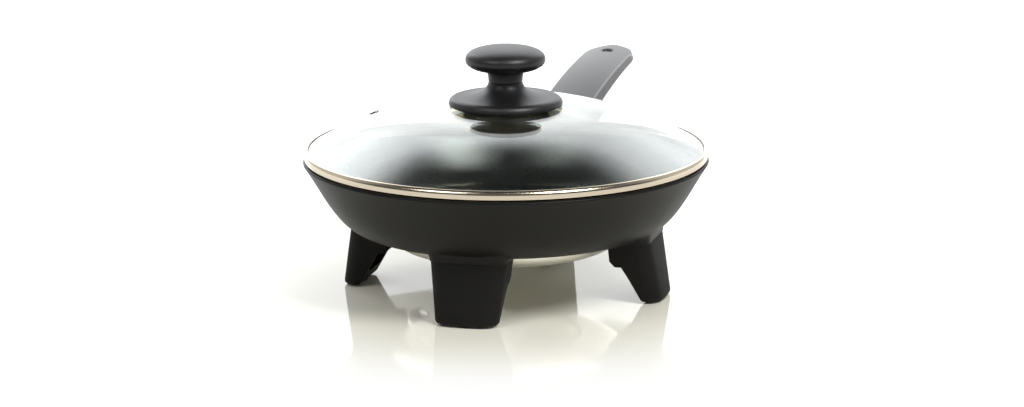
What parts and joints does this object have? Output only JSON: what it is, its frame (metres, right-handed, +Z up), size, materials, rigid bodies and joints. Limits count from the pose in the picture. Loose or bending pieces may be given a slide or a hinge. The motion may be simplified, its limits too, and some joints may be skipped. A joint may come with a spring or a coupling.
{
  "type": "electric skillet",
  "caption": "Round electric skillet on moulded legs with a long handle, a heat plate with a plug-in control inlet, and a loose domed glass lid with a steel rim and a mushroom knob.",
  "frame": {"origin": "the pan's axis at the level of the counter under the feet", "axes": "+Z up along the pan's axis, +Y along the handle, +X to the right seen from the end away from the handle"},
  "size_m": [0.23, 0.3793, 0.1407],
  "materials": {
    "pan_coating": "satin dark non-stick coating on cast aluminium",
    "bare_aluminium": "bare machined casting",
    "dark_sheath": "dull heat-darkened sheath",
    "bright_steel": "bright plated steel",
    "sheet_steel": "bright pressed sheet",
    "rim_steel": "polished stainless band",
    "white_ceramic": "glazed ceramic",
    "black_phenolic": "satin black phenolic moulding",
    "handle_phenolic": "matte dark grey phenolic moulding",
    "black_rubber": "matte",
    "lid_glass": "clear tempered glass",
    "brass": "turned"
  },
  "bodies": {
    "skillet": {"pan_body": "pan_coating", "heat_plate": "bare_aluminium", "heating_element": "dark_sheath", "terminal_pins": "bright_steel", "pin_insulators": "white_ceramic", "probe_sleeve": "bright_steel", "socket_guard": "sheet_steel", "guard_screws": "bright_steel", "plate_nuts": "bright_steel", "leg_right": "black_phenolic", "leg_rear": "black_phenolic", "leg_left": "black_phenolic", "leg_front": "black_phenolic", "leg_screws": "bright_steel", "foot_pads": "black_rubber", "handle": "handle_phenolic", "handle_screw": "bright_steel"},
    "lid": {"lid_glass": "lid_glass", "lid_rim": "rim_steel", "steam_vent": "rim_steel", "knob_base": "black_phenolic", "knob_cap": "black_phenolic", "knob_insert": "brass", "knob_gasket": "black_rubber", "knob_washer": "bright_steel", "knob_screw": "bright_steel"}
  },
  "joints": [
    {"name": "lid_lift", "type": "slide", "parent": "skillet", "child": "lid", "axis": [0, 0, 1], "range_m": [0, 0.12]}
  ]
}
